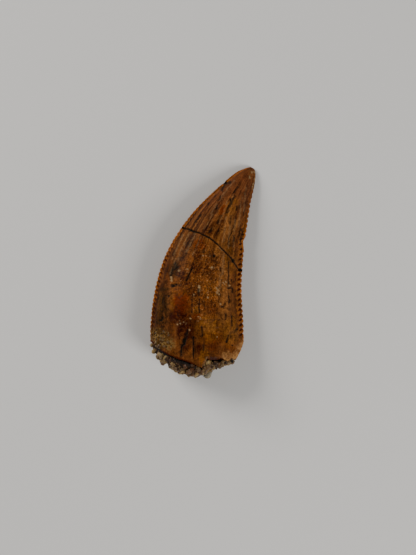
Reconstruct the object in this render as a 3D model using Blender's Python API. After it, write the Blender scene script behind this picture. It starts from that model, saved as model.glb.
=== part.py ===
"""A fossil meat-eating dinosaur's tooth, lying on its flatter face, with sandstone in its broken base.

The frame is in metres, +Z up. The tooth lies on the plane Z = 0 with its rounder face up, its tip
towards +Y and its concave rear edge towards +X. The origin is under the middle of the object's
bounding box. Every size below is in millimetres, and new_object turns them into metres.
"""

import random

import bmesh
import bpy
from mathutils import Vector, noise

MM = 0.001

# Seen from above, the two cutting edges as (X, Y) of smooth curves, from the base to the tip.
FRONT_EDGE = [
    (-6.08, -7.95),
    (-6.10, -6.20),
    (-5.85, -3.60),
    (-5.30, -0.80),
    (-4.40, 1.90),
    (-3.05, 4.40),
    (-1.15, 7.00),
    (1.25, 9.40),
    (3.60, 11.45),
    (4.86, 12.10),
    (5.55, 12.30),
]
REAR_EDGE = [
    (4.72, -7.95),
    (4.68, -5.60),
    (4.50, -2.60),
    (4.56, 0.20),
    (4.80, 2.80),
    (5.16, 5.40),
    (5.52, 7.80),
    (5.95, 9.80),
    (6.13, 11.10),
    (6.05, 11.95),
    (5.55, 12.30),
]

# The crown's body: a lens that thins towards the tip, rounder above and almost flat below.
BASE_THICKNESS = 5.3
TAPER_POWER = 1.6
TAPER_ROUNDING = 0.75
UPPER_SHARE = 0.60
SECTION_POWER = 2.3
SECTION_SKEW = 0.86
FLAT_CLIP = 1.15
EDGE_INSET = 0.26
INSET_FROM_BASE = 0.035
INSET_TO_TIP = 0.10
UNEVENNESS = 0.05
MOST_INSET_SHARE = 0.45
ROWS = 36
ROW_CROWDING = 1.15
UPPER_COLUMNS = 18
LOWER_COLUMNS = 10

# The enamel's lower rim, as (X, Y) where it broke, on the upper face and on the hidden one.
UPPER_RIM = [
    (-6.00, -8.05),
    (-5.10, -8.80),
    (-4.20, -9.35),
    (-3.00, -9.85),
    (-1.90, -10.15),
    (-0.60, -10.75),
    (-0.10, -10.95),
    (0.50, -9.90),
    (1.10, -10.15),
    (2.40, -10.15),
    (3.40, -10.05),
    (4.10, -9.45),
    (4.50, -8.75),
    (4.70, -8.10),
]
LOWER_RIM = [
    (-6.00, -8.05),
    (-4.60, -9.20),
    (-2.80, -9.60),
    (-1.00, -10.20),
    (0.90, -9.50),
    (2.60, -9.80),
    (3.90, -9.40),
    (4.70, -8.10),
]
RIM_ROWS = 3
WALL = 0.60
LEAST_SHRINK = 0.2
HOLLOW_SLOPE = 0.25
HOLLOW_FLOOR = -7.30

# The saw teeth: how far inside the edge each point of one tooth lies, by its share of the pitch.
TOOTH_PROFILE = [(0.0, 0.20), (0.22, 0.05), (0.52, 0.0), (0.80, 0.05)]
REAR_PITCH = 0.58
FRONT_PITCH = 0.52
SAW_START = 0.85
SAW_END_GAP = 0.90
SAW_ROOT = 0.85
SAW_EDGE_HALF = 0.10
SAW_ROOT_HALF = 0.28
SAW_MOST_HALF = 0.2
REAR_WORN_FROM = 16.0
FRONT_WORN_FROM = 17.0
WEAR_LENGTH = 3.0
MOST_WEAR = 0.8

# Cracks: (X, Y) points seen from above, with the slot's width and depth. One runs all round.
THROUGH_CRACK = [
    (-2.19, 5.07),
    (-1.17, 4.72),
    (-0.07, 4.32),
    (0.60, 4.00),
    (1.49, 3.37),
    (2.37, 2.51),
    (3.05, 1.83),
    (3.49, 1.28),
    (3.88, 0.67),
    (4.21, 0.27),
]
THROUGH_CRACK_SIZE = (0.16, 0.18)
LONG_CRACKS = [
    ([(-5.30, -2.12), (-4.28, -1.97), (-3.70, -1.56), (-2.08, -1.33), (-0.69, -1.21)], (0.26, 0.16)),
    ([(-1.23, 0.47), (-1.50, -0.07), (-1.71, -0.62), (-1.93, -1.05)], (0.20, 0.16)),
    ([(-0.40, -3.10), (-0.40, -4.60)], (0.14, 0.14)),
    ([(-1.25, -3.10), (-1.25, -4.60)], (0.12, 0.12)),
    ([(-1.72, -6.50), (-2.09, -7.87), (-2.41, -8.47), (-2.48, -9.20)], (0.34, 0.24)),
    ([(-1.09, -7.10), (-1.09, -9.40)], (0.16, 0.18)),
    ([(-0.13, -6.20), (-0.05, -7.35)], (0.18, 0.12)),
    ([(2.95, 0.06), (2.92, -0.93), (2.96, -3.24), (3.24, -4.63), (3.12, -7.30)], (0.13, 0.14)),
]
CRACK_REACH = 0.45
CRACK_END_SIZE = 0.4
HIDDEN_WAVER = 0.012

# The flake that is missing from the rear edge: its place seen from above, and its radii.
FLAKE = (5.15, 3.30)
FLAKE_RADII = (0.55, 0.78, 0.90)

# The sandstone: how far it reaches below the rim as (X, Y), and its grains as ((X, Y), radius).
STONE_FOOT = [
    (-6.00, -8.60),
    (-5.60, -9.60),
    (-4.80, -10.40),
    (-3.80, -10.90),
    (-2.70, -11.40),
    (-1.20, -11.65),
    (0.40, -11.50),
    (1.20, -10.90),
    (2.70, -10.60),
    (3.40, -10.10),
    (4.00, -9.40),
    (4.60, -8.25),
]
STONE_RINGS = 6
DOME_POWER = 3
GIRTH_BELOW_RIM = 0.10
STONE_INSET = 0.12
PLUG_INSET = 0.35
PLUG_TOP = -7.80
STONE_GAP = 0.10
EDGE_GRAINS = [
    ((-5.88, -8.45), 0.24),
    ((-5.62, -9.14), 0.30),
    ((-5.15, -9.83), 0.28),
    ((-4.60, -10.36), 0.36),
    ((-3.76, -10.80), 0.35),
    ((-3.12, -11.10), 0.28),
    ((-2.66, -11.50), 0.34),
    ((-1.74, -11.50), 0.30),
    ((-0.90, -11.68), 0.36),
    ((-0.17, -11.57), 0.30),
    ((0.50, -11.78), 0.50),
    ((1.35, -10.70), 0.38),
    ((1.95, -10.60), 0.26),
    ((2.63, -10.53), 0.28),
    ((3.36, -10.00), 0.22),
]
EDGE_GRAIN_HEIGHT = (2.3, 3.0)
SEED = 11
GRAINS = 150
GRAINS_REAR_LIMIT = 3.3
GRAINS_TOP = -8.45
GRAIN_RADIUS = (0.22, 0.42)
GRAIN_JITTER = 0.15
GRAIN_SINK = 0.05
STONE_LIFT = 0.10
STONE_VOXEL = 0.16
STONE_SHARE_KEPT = 0.22


class Edge:
    """A cutting edge: a Catmull-Rom curve through points, walked by its real length."""

    STEPS = 40

    def __init__(self, points):
        ends = [Vector(points[0]), *map(Vector, points), Vector(points[-1])]
        self.places = []
        for p0, p1, p2, p3 in zip(ends, ends[1:], ends[2:], ends[3:]):
            for step in range(self.STEPS):
                t = step / self.STEPS
                bend = 2 * p0 - 5 * p1 + 4 * p2 - p3
                twist = 3 * p1 - p0 - 3 * p2 + p3
                self.places.append(0.5 * (2 * p1 + (p2 - p0) * t + bend * t**2 + twist * t**3))
        self.places.append(ends[-1])
        self.lengths = [0.0]
        for a, b in zip(self.places, self.places[1:]):
            self.lengths.append(self.lengths[-1] + (b - a).length)
        self.length = self.lengths[-1]

    def at(self, distance):
        """The point this far along the edge from the base."""
        distance = min(max(distance, 0.0), self.length)
        k = next(k for k, far in enumerate(self.lengths[1:]) if far >= distance - 1e-9)
        span = self.lengths[k + 1] - self.lengths[k]
        return self.places[k].lerp(self.places[k + 1], (distance - self.lengths[k]) / span)

    def direction(self, distance):
        return (self.at(distance + 0.05) - self.at(distance - 0.05)).normalized()


FRONT = Edge(FRONT_EDGE)
REAR = Edge(REAR_EDGE)


def material(name, colour, roughness):
    made = bpy.data.materials.new(name)
    made.use_nodes = True
    shader = made.node_tree.nodes["Principled BSDF"]
    shader.inputs["Base Color"].default_value = (*colour, 1.0)
    shader.inputs["Roughness"].default_value = roughness
    shader.inputs["Metallic"].default_value = 0.0
    return made


def new_object(name, bm, finish=None):
    """An object from a bmesh drawn in millimetres. Without a finish it is a hidden helper."""
    bmesh.ops.recalc_face_normals(bm, faces=bm.faces)
    bmesh.ops.scale(bm, vec=(MM, MM, MM), verts=bm.verts)
    mesh = bpy.data.meshes.new(name)
    bm.to_mesh(mesh)
    bm.free()
    obj = bpy.data.objects.new(name, mesh)
    bpy.context.collection.objects.link(obj)
    if finish:
        mesh.materials.append(finish)
    else:
        obj.hide_render = True
        obj.display_type = "WIRE"
    return obj


def add_boolean(obj, other, operation):
    modifier = obj.modifiers.new(f"{operation} {other.name}", "BOOLEAN")
    modifier.object = other
    modifier.operation = operation
    modifier.solver = "EXACT"


def height_on(line, x):
    """Y at x on a broken line of (X, Y) points."""
    for (x0, y0), (x1, y1) in zip(line, line[1:]):
        if x <= x1:
            return y0 + (y1 - y0) * max(x - x0, 0.0) / (x1 - x0)
    return line[-1][1]


def thickness(v):
    """The body's thickness at the share v of the crown's height."""
    return BASE_THICKNESS * (1 - min(max(v, 0.0), 1.0) ** TAPER_POWER) ** TAPER_ROUNDING


def edge_height(v):
    """Z of the two cutting edges."""
    return (1 - UPPER_SHARE) * thickness(v)


def chord(v):
    """The points of the front and rear edges at the share v of their lengths."""
    return FRONT.at(v * FRONT.length), REAR.at(v * REAR.length)


def section_point(v, u, upper, grow=0.0):
    """A point of the body's skin: v runs from base to tip, and u from the front edge to the rear.

    With grow, the skin stands that far outside the real one."""
    front, rear = chord(v)
    width = (rear - front).length
    inset = EDGE_INSET * min(1.0, max(v, 0.0) / INSET_FROM_BASE, max(1 - v, 0.0) / INSET_TO_TIP)
    inset = min(inset, MOST_INSET_SHARE * width) - grow
    share = (inset + (width - 2 * inset) * u) / width if width > 1e-6 else 0.5
    place = front.lerp(rear, share)
    bulge = 1 - abs(2 * u**SECTION_SKEW - 1) ** SECTION_POWER
    if not upper:
        return Vector((*place, edge_height(v) - (edge_height(v) + grow) * min(1.0, FLAT_CLIP * bulge)))
    wave = UNEVENNESS * min(thickness(v), 1.0) * noise.noise(Vector((0.9 * place.x, 0.4 * place.y, 3.0)))
    return Vector((*place, edge_height(v) + (UPPER_SHARE * thickness(v) + wave + grow) * bulge))


def columns():
    """The (u, upper) of each point once round a section, from the front edge."""
    above = [(j / UPPER_COLUMNS, True) for j in range(UPPER_COLUMNS + 1)]
    below = [(j / LOWER_COLUMNS, False) for j in range(LOWER_COLUMNS - 1, 0, -1)]
    return above + below


def drawn_in(ring, inward, level=None):
    """A ring moved towards its own middle, and to the level Y if one is given."""
    middle = sum(ring, Vector()) / len(ring)
    drawn = []
    for place in ring:
        out = Vector((place.x - middle.x, 0, place.z - middle.z))
        shrink = max(LEAST_SHRINK, 1 - inward / out.length)
        y = place.y if level is None else level
        drawn.append(Vector((middle.x + out.x * shrink, y, middle.z + out.z * shrink)))
    return drawn


def rim_ring(below=0.0, grow=0.0):
    """The ring where the enamel broke off, or one this far below it or outside the skin."""
    ring = []
    for u, upper in columns():
        place = section_point(0.0, u, upper, grow)
        rim = height_on(UPPER_RIM if upper else LOWER_RIM, section_point(0.0, u, upper).x)
        ring.append(Vector((place.x, rim - below, place.z)))
    return ring


def loft(rings, tip=None):
    """A closed skin over rings with equal counts, ending in a point or a flat cap."""
    bm = bmesh.new()
    loops = [[bm.verts.new(p) for p in ring] for ring in rings]
    count = len(rings[0])
    for above, below in zip(loops, loops[1:]):
        for j in range(count):
            k = (j + 1) % count
            bm.faces.new((above[j], below[j], below[k], above[k]))
    if tip is None:
        bm.faces.new(loops[0])
    else:
        point = bm.verts.new(tip)
        for j in range(count):
            bm.faces.new((point, loops[0][j], loops[0][(j + 1) % count]))
    bm.faces.new(loops[-1])
    bmesh.ops.triangulate(bm, faces=[f for f in bm.faces if len(f.verts) > 4])
    return bm


def crown_body(grow=0.0):
    """The crown without its saw teeth: skin, broken rim, and the hollow of its base."""
    rings = []
    for i in range(1, ROWS + 1):
        v = 1 - (i / ROWS) ** ROW_CROWDING
        rings.append([section_point(v, u, upper, grow) for u, upper in columns()])
    foot = rings[-1]
    rim = rim_ring(grow, grow)
    for i in range(1, RIM_ROWS):
        rings.append([a.lerp(b, i / RIM_ROWS) for a, b in zip(foot, rim)])
    rings.append(rim)
    rings.append(drawn_in(rim, WALL + 2 * grow))
    rings.append(drawn_in(rim, WALL + HOLLOW_SLOPE + 2 * grow, HOLLOW_FLOOR - grow))
    return loft(rings, tip=section_point(1.0, 0.5, True))


def saw(bm, edge, pitch, worn_from, side):
    """Adds a row of saw teeth on an edge: a thin wedge whose root is buried in the body.

    side is 1 where the body lies to the right of the edge, seen from above, and -1 to the left."""

    def pair(distance, drop, half):
        along = edge.direction(distance)
        inward = Vector((along.y, -along.x)) * side
        place = edge.at(distance) + inward * drop
        v = distance / edge.length
        half = min(half, SAW_MOST_HALF * thickness(v))
        return [bm.verts.new((*place, edge_height(v) + lift)) for lift in (half, -half)]

    teeth = int((edge.length - SAW_START - SAW_END_GAP) / pitch)
    tips, roots = [], []
    for k in range(teeth + 1):
        start = SAW_START + k * pitch
        wear = min(max((start - worn_from) / WEAR_LENGTH, 0.0), MOST_WEAR)
        profile = TOOTH_PROFILE if k < teeth else TOOTH_PROFILE[:1]
        tips += [pair(start + s * pitch, drop * (1 - wear), SAW_EDGE_HALF) for s, drop in profile]
        roots.append(pair(start, SAW_ROOT, SAW_ROOT_HALF))
    for row in (tips, roots):
        for a, b in zip(row, row[1:]):
            bm.faces.new((a[0], b[0], b[1], a[1]))
    for k in range(teeth):
        run = tips[k * len(TOOTH_PROFILE) : (k + 1) * len(TOOTH_PROFILE) + 1]
        for face in (0, 1):
            bm.faces.new([p[face] for p in run] + [roots[k + 1][face], roots[k][face]])
    for k in (0, -1):
        bm.faces.new((tips[k][0], tips[k][1], roots[k][1], roots[k][0]))


def share_at(x, y):
    """The (v, u) of a point seen from above, found by halving the range of v."""
    low, high = 0.0, 1.0
    while high - low > 1e-5:
        v = (low + high) / 2
        front, rear = chord(v)
        across, away = rear - front, Vector((x, y)) - front
        low, high = (v, high) if across.cross(away) > 0 else (low, v)
    return v, away.dot(across) / across.length_squared


def outward(v, u, upper):
    """The direction out of the body at a point of its skin."""
    if u in (0.0, 1.0):
        front, rear = chord(v)
        return Vector((*((rear - front) * (2 * u - 1)), 0)).normalized()
    step = 0.01
    across = section_point(v, u + step, upper) - section_point(v, u - step, upper)
    along = section_point(v + step, u, upper) - section_point(v - step, u, upper)
    normal = across.cross(along).normalized()
    return normal if (normal.z > 0) == upper else -normal


def crack_blade(places, width, depth, end_size):
    """A thin blade that stands in the skin along (v, u, upper) places, drawn in at both ends."""
    bm = bmesh.new()
    points = [section_point(*place) for place in places]
    last = len(points) - 1
    rings = []
    for k, (point, place) in enumerate(zip(points, places)):
        along = points[min(k + 1, last)] - points[max(k - 1, 0)]
        across = along.cross(outward(*place)).normalized()
        out = across.cross(along).normalized()
        size = 1.0 if 0 < k < last else end_size
        corners = [(CRACK_REACH, -0.5), (CRACK_REACH, 0.5), (-depth * size, 0.2), (-depth * size, -0.2)]
        rings.append([bm.verts.new(point + out * up + across * side * width * size) for up, side in corners])
    for a, b in zip(rings, rings[1:]):
        for j in range(4):
            bm.faces.new((a[j], a[(j + 1) % 4], b[(j + 1) % 4], b[j]))
    bm.faces.new(rings[0])
    bm.faces.new(rings[-1])
    bmesh.ops.triangulate(bm, faces=bm.faces)
    return bm


def seen_places(path):
    """The (v, u, upper) places of a crack drawn from above."""
    return [(*share_at(x, y), True) for x, y in path]


def hidden_places(seen):
    """The same crack on the hidden face, where it wavers to either side of the seen one."""
    return [(v + HIDDEN_WAVER * (-1) ** k, u, False) for k, (v, u, _) in enumerate(seen)]


def foot_point(middle, place, share):
    """A point of the domed foot: share runs from 0 at a place of the girth to 1 at its middle."""
    shrink = (1 - share**DOME_POWER) ** (1 / DOME_POWER)
    x = middle.x + (place.x - middle.x) * shrink
    z = middle.z + (place.z - middle.z) * shrink
    return Vector((x, place.y + (height_on(STONE_FOOT, x) - place.y) * share, z))


def stone_core():
    """The stone without its grains: a plug in the hollow and a dome below the rim."""
    girth = drawn_in(rim_ring(GIRTH_BELOW_RIM), STONE_INSET)
    middle = sum(girth, Vector()) / len(girth)
    rings = [drawn_in(girth, PLUG_INSET, PLUG_TOP), drawn_in(rim_ring(-GIRTH_BELOW_RIM), PLUG_INSET), girth]
    for i in range(1, STONE_RINGS):
        rings.append([foot_point(middle, place, i / STONE_RINGS) for place in girth])
    return loft(rings)


def pebble(bm, centre, radius, rng):
    """Adds a rounded grain with a shape of its own, clear of the plane that the tooth lies on."""
    stretch = [rng.uniform(0.85, 1.2) for _ in range(3)]
    centre.z = max(centre.z, STONE_LIFT + radius * stretch[2])
    for vert in bmesh.ops.create_icosphere(bm, subdivisions=2, radius=radius)["verts"]:
        vert.co = Vector(a * b for a, b in zip(vert.co, stretch)) + centre


def grains(bm):
    """Adds the sand grains of the stone's bare surface, each partly sunk in it."""
    rng = random.Random(SEED)
    girth = drawn_in(rim_ring(GIRTH_BELOW_RIM), STONE_INSET)
    middle = sum(girth, Vector()) / len(girth)
    for _ in range(GRAINS):
        k = rng.randrange(len(girth))
        place = girth[k].lerp(girth[k - 1], rng.random())
        place = foot_point(middle, place, rng.random() ** 0.5)
        if place.x > GRAINS_REAR_LIMIT:
            continue
        place.y = min(place.y, GRAINS_TOP)
        jitter = Vector(rng.uniform(-GRAIN_JITTER, GRAIN_JITTER) for _ in range(3))
        pebble(bm, place + jitter + Vector((0, GRAIN_SINK, 0)), rng.uniform(*GRAIN_RADIUS), rng)
    for (x, y), radius in EDGE_GRAINS:
        pebble(bm, Vector((x, y, rng.uniform(*EDGE_GRAIN_HEIGHT))), radius, rng)


def largest_body(obj):
    """Replaces an object's mesh by the largest closed body of its evaluated one."""
    evaluated = obj.evaluated_get(bpy.context.evaluated_depsgraph_get())
    bm = bmesh.new()
    bm.from_mesh(evaluated.to_mesh())
    bodies, waiting = [], set(bm.verts)
    while waiting:
        body, fringe = set(), [waiting.pop()]
        while fringe:
            vert = fringe.pop()
            body.add(vert)
            near = {edge.other_vert(vert) for edge in vert.link_edges} & waiting
            waiting -= near
            fringe += near
        bodies.append(body)
    keep = max(bodies, key=len)
    bmesh.ops.delete(bm, geom=[v for v in bm.verts if v not in keep], context="VERTS")
    obj.modifiers.clear()
    bm.to_mesh(obj.data)
    bm.free()


for old in list(bpy.data.objects):
    bpy.data.objects.remove(old)

# The crown: enamel and dentine of one piece, with its saw teeth, its cracks and a missing flake.
crown = new_object("tooth_crown", crown_body(), material("enamel", (0.22, 0.080, 0.020), 0.36))

saws = bmesh.new()
saw(saws, FRONT, FRONT_PITCH, FRONT_WORN_FROM, side=1)
saw(saws, REAR, REAR_PITCH, REAR_WORN_FROM, side=-1)
add_boolean(crown, new_object("saw_teeth", saws), "UNION")

seen = seen_places(THROUGH_CRACK)
seen = [(seen[0][0], 0.0, True), *seen, (seen[-1][0], 1.0, True)]
cracks = [(seen, THROUGH_CRACK_SIZE, 1.0), (hidden_places(seen), THROUGH_CRACK_SIZE, 1.0)]
cracks += [(seen_places(path), size, CRACK_END_SIZE) for path, size in LONG_CRACKS]
for k, (places, size, end_size) in enumerate(cracks):
    blade = new_object(f"crack_blade_{k}", crack_blade(places, *size, end_size))
    add_boolean(crown, blade, "DIFFERENCE")

flake = bmesh.new()
middle = Vector((*FLAKE, edge_height(share_at(*FLAKE)[0])))
for vert in bmesh.ops.create_icosphere(flake, subdivisions=2, radius=1.0)["verts"]:
    vert.co = Vector(a * b for a, b in zip(vert.co, FLAKE_RADII)) + middle
add_boolean(crown, new_object("flake_scoop", flake), "DIFFERENCE")

# The sandstone: it fills the hollow, and its rounded grains stand below the broken rim.
stone = stone_core()
grains(stone)
sandstone = new_object("sandstone_matrix", stone, material("sandstone", (0.21, 0.155, 0.095), 0.80))
blend = sandstone.modifiers.new("one skin", "REMESH")
blend.mode = "VOXEL"
blend.voxel_size = STONE_VOXEL * MM
thin = sandstone.modifiers.new("fewer faces", "DECIMATE")
thin.ratio = STONE_SHARE_KEPT
add_boolean(sandstone, new_object("crown_with_gap", crown_body(STONE_GAP)), "DIFFERENCE")
largest_body(sandstone)

crown.data.shade_smooth()
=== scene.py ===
import random

import bpy
import numpy as np
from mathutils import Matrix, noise


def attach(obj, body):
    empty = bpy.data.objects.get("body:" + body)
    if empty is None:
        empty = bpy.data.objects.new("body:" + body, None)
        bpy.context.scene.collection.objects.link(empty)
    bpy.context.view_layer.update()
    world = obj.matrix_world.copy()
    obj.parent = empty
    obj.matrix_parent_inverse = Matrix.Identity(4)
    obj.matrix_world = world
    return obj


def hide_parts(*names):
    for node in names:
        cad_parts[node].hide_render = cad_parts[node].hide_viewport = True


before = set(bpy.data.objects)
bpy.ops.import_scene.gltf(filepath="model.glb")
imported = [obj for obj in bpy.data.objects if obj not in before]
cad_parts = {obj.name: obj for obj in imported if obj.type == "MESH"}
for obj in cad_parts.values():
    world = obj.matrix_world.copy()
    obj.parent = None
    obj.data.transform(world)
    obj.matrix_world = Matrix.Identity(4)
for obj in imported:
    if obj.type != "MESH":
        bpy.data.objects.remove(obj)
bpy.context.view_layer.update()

# The table: a wide pale sheet that the tooth lies on, looked at from straight above with a long
# lens under two soft lamps and a pale room. None of it belongs to the object.
TABLE_WIDTH = 1.6
TABLE_DROP = 0.00003
bpy.ops.object.select_all(action="DESELECT")
bpy.ops.mesh.primitive_plane_add(size=TABLE_WIDTH, location=(0, 0, -TABLE_DROP))
table = bpy.context.object
table.name = "studio_table"
table_finish = bpy.data.materials.new("pale table")
table_finish.use_nodes = True
table_shader = table_finish.node_tree.nodes["Principled BSDF"]
table_shader.inputs["Base Color"].default_value = (0.80, 0.79, 0.77, 1)
table_shader.inputs["Roughness"].default_value = 0.75
table.data.materials.append(table_finish)

room = bpy.data.worlds.new("pale room")
room.use_nodes = True
room_nodes = room.node_tree.nodes
heading = room_nodes.new("ShaderNodeTexCoord")
parts = room_nodes.new("ShaderNodeSeparateXYZ")
fall_off = room_nodes.new("ShaderNodeMapRange")
fall_off.inputs["From Min"].default_value = 0.25
fall_off.inputs["From Max"].default_value = 0.95
fall_off.inputs["To Min"].default_value = 0.32
fall_off.inputs["To Max"].default_value = 0.12
room.node_tree.links.new(heading.outputs["Generated"], parts.inputs[0])
room.node_tree.links.new(parts.outputs["Z"], fall_off.inputs["Value"])
room.node_tree.links.new(fall_off.outputs[0], room_nodes["Background"].inputs["Strength"])
room_nodes["Background"].inputs["Color"].default_value = (0.96, 0.98, 1.0, 1)
bpy.context.scene.world = room


def lamp(name, place, size, power, colour):
    """A square soft lamp at a place, turned to the tooth."""
    bpy.ops.object.light_add(type="AREA", location=place)
    made = bpy.context.object
    made.name = name
    made.data.size = size
    made.data.energy = power
    made.data.color = colour
    made.rotation_euler = made.location.to_track_quat("Z", "Y").to_euler()


lamp("left_lamp", (-0.22, 0.16, 0.17), size=0.14, power=0.74, colour=(1.0, 0.97, 0.93))
lamp("right_lamp", (0.20, -0.16, 0.18), size=0.12, power=0.58, colour=(1.0, 0.98, 0.95))

camera_data = bpy.data.cameras.new("view from above")
camera_data.sensor_fit = "VERTICAL"
camera_data.sensor_height = 36
camera_data.lens = 100
camera_data.clip_start = 0.01
camera = bpy.data.objects.new("view from above", camera_data)
camera.location = (0.00058, -0.00064, 0.1804)
bpy.context.collection.objects.link(camera)
bpy.context.scene.camera = camera


# The crown: enamel over dentine, grown as one hollow cone and pressed flat, with a row of fine saw
# teeth along both cutting edges. It was buried, stained by the sand's iron, cracked right across,
# rubbed raw over the middle and broken off ragged at the base. Sizes here are in millimetres.
FRONT_EDGE = [
    (-6.08, -7.95), (-6.10, -6.20), (-5.85, -3.60), (-5.30, -0.80), (-4.40, 1.90), (-3.05, 4.40),
    (-1.15, 7.00), (1.25, 9.40), (3.60, 11.45), (4.86, 12.10), (5.55, 12.30),
]
REAR_EDGE = [
    (4.72, -7.95), (4.68, -5.60), (4.50, -2.60), (4.56, 0.20), (4.80, 2.80), (5.16, 5.40),
    (5.52, 7.80), (5.95, 9.80), (6.13, 11.10), (6.05, 11.95), (5.55, 12.30),
]
UPPER_RIM = [
    (-6.00, -8.05), (-5.10, -8.80), (-4.20, -9.35), (-3.00, -9.85), (-1.90, -10.15),
    (-0.60, -10.75), (-0.10, -10.95), (0.45, -9.90), (1.10, -10.05), (1.75, -10.05),
    (2.15, -9.85), (2.45, -10.00), (2.90, -10.20), (3.30, -10.28), (3.70, -10.10), (4.00, -9.75),
    (4.30, -9.10), (4.62, -8.40), (4.70, -8.10),
]
LOWER_RIM = [
    (-6.00, -8.05), (-4.60, -9.20), (-2.80, -9.60), (-1.00, -10.20), (0.90, -9.50),
    (2.60, -9.80), (3.90, -9.40), (4.70, -8.10),
]
FOOT_LEVEL = -7.95
BASE_THICKNESS = 5.3
UPPER_SHARE = 0.60
BODY_INSET = 0.26
WALL = 0.60
HOLLOW_SLOPE = 0.25
HOLLOW_FLOOR = -7.30
FLOW_WIDTH = 10.8
FLOW_LENGTH = 21.0
UPPER_COLUMNS = 150
LOWER_COLUMNS = 38
SKIN_ROWS = 440
RIM_ROWS = 44
BREAK_ROWS = 6
HOLLOW_ROWS = 8
REAR_PITCH = 0.58
FRONT_PITCH = 0.52
SAW_START = 0.85
SAW_END_GAP = 0.90
FRONT_NOTCH = 0.08
REAR_NOTCH = 0.11
DEEPEST_NOTCH = 0.26
FRONT_WORN_FROM = 17.0
REAR_WORN_FROM = 16.0
WEAR_REACH = 3.0
FRONT_SEED = 3.5
REAR_SEED = 8.5
FLAKE_LEVEL = 3.40
FLAKE_HALF = 0.50
FLAKE_DEPTH = 0.22
NICK_PLACE = 2.35
NICK_HALF = 0.20
NICK_DEPTH = 0.10


def smooth_line(points):
    """A Catmull-Rom curve through points, as its distances from the start and its places."""
    p = np.array([points[0], *points, points[-1]])
    t = np.linspace(0, 1, 40, endpoint=False)[:, None]
    spans = [
        0.5 * (2 * b + (c - a) * t + (2 * a - 5 * b + 4 * c - d) * t**2
               + (3 * b - a - 3 * c + d) * t**3)
        for a, b, c, d in zip(p, p[1:], p[2:], p[3:])
    ]
    places = np.vstack([*spans, p[-1:]])
    steps = np.linalg.norm(np.diff(places, axis=0), axis=1)
    return np.concatenate([[0.0], np.cumsum(steps)]), places


def walk(line, distance):
    """The places at some distances along a curve from smooth_line."""
    far, places = line
    return np.stack([np.interp(distance, far, places[:, k]) for k in (0, 1)], axis=-1)


def level(rim_points, across):
    """The Y of a rim's line at some X."""
    return np.interp(across, *zip(*rim_points))


def cloud(x, y, z=0.0):
    """Smooth noise, about -1 to 1, at arrays of coordinates."""
    x, y, z = np.broadcast_arrays(np.asarray(x, float), y, z)
    values = [noise.noise(place) for place in zip(x.ravel(), y.ravel(), z.ravel())]
    return np.array(values).reshape(x.shape)


def ease(value):
    """0 below 0, 1 above 1, and a smooth S between them."""
    value = np.clip(value, 0, 1)
    return value * value * (3 - 2 * value)


def from_path(x, y, path):
    """How far each place is from a curve through points, seen from above."""
    best = np.full(x.shape, 1e9)
    curve = smooth_line(path)[1][::8] if len(path) > 2 else path
    for (x0, y0), (x1, y1) in zip(curve, curve[1:]):
        length = (x1 - x0) ** 2 + (y1 - y0) ** 2
        t = np.clip(((x - x0) * (x1 - x0) + (y - y0) * (y1 - y0)) / length, 0, 1)
        best = np.minimum(best, np.hypot(x - x0 - t * (x1 - x0), y - y0 - t * (y1 - y0)))
    return best


def crowded(count, edge=1.3, reach=0.07):
    """Shares from 0 to 1, closer together at both ends."""
    t = np.linspace(0, 1, 400)
    density = 1 + edge * (np.exp(-((t / reach) ** 2)) + np.exp(-(((1 - t) / reach) ** 2)))
    total = np.concatenate([[0.0], np.cumsum((density[1:] + density[:-1]) / 2)])
    return np.interp(np.linspace(0, 1, count + 1), total / total[-1], t)


# Each section: u is the share of the width from the front edge to the rear, and v of the height.
front_line = smooth_line(FRONT_EDGE)
rear_line = smooth_line(REAR_EDGE)
u = np.concatenate([crowded(UPPER_COLUMNS), crowded(LOWER_COLUMNS)[-2:0:-1]])
above = np.arange(len(u)) <= UPPER_COLUMNS
v = np.linspace(1, 0, SKIN_ROWS + 1)[:, None]
front_far, rear_far = v * front_line[0][-1], v * rear_line[0][-1]
front_place, rear_place = walk(front_line, front_far), walk(rear_line, rear_far)
across = rear_place - front_place
width = np.linalg.norm(across, axis=-1)


def notches(far, length, pitch, depth, worn_from, seed):
    """At each distance along an edge, the saw's depth, and 0 to 1 how much of a gap is there."""
    phase = (far - SAW_START) / pitch
    teeth = int((length - SAW_START - SAW_END_GAP) / pitch)
    tooth = np.round(phase)
    gap = np.exp(-(((phase - tooth + 0.03 * cloud(tooth, seed)) / 0.17) ** 2))
    crest = 0.15 * depth * (2 * np.abs(phase - np.floor(phase) - 0.42)) ** 2
    wear = np.clip((far - worn_from) / WEAR_REACH, 0, 0.8)
    uneven = 0.85 + 0.45 * cloud(tooth * 0.7, seed + 5)
    inside = ease((phase + 0.5) * 2) * ease((teeth + 0.5 - phase) * 2)
    left = (1 - wear) * inside
    return np.clip((depth * gap * uneven + crest) * left, 0, DEEPEST_NOTCH), gap * left


front_saw = (front_line[0][-1], FRONT_PITCH, FRONT_NOTCH, FRONT_WORN_FROM, FRONT_SEED)
rear_saw = (rear_line[0][-1], REAR_PITCH, REAR_NOTCH, REAR_WORN_FROM, REAR_SEED)
front_notch = notches(front_far, *front_saw)[0]
rear_notch = notches(rear_far, *rear_saw)[0]

# A chip of the rear edge, a nick of the front edge, and small chips from there to the tip.
flake = np.exp(-(((rear_place[..., 1] - FLAKE_LEVEL) / FLAKE_HALF) ** 2))
rear_notch = np.maximum(rear_notch, FLAKE_DEPTH * flake * (1 + 0.4 * cloud(rear_far * 2.2, 1.5)))
nick = np.exp(-(((front_place[..., 0] - NICK_PLACE) / NICK_HALF) ** 2))
chips = np.abs(cloud(front_far * 1.3, 40.5)) * (front_far > 13)
front_notch = front_notch + NICK_DEPTH * nick + 0.03 * chips
narrow = np.minimum(1, width / 3.0)
front_notch, rear_notch = front_notch * narrow, rear_notch * narrow

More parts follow.
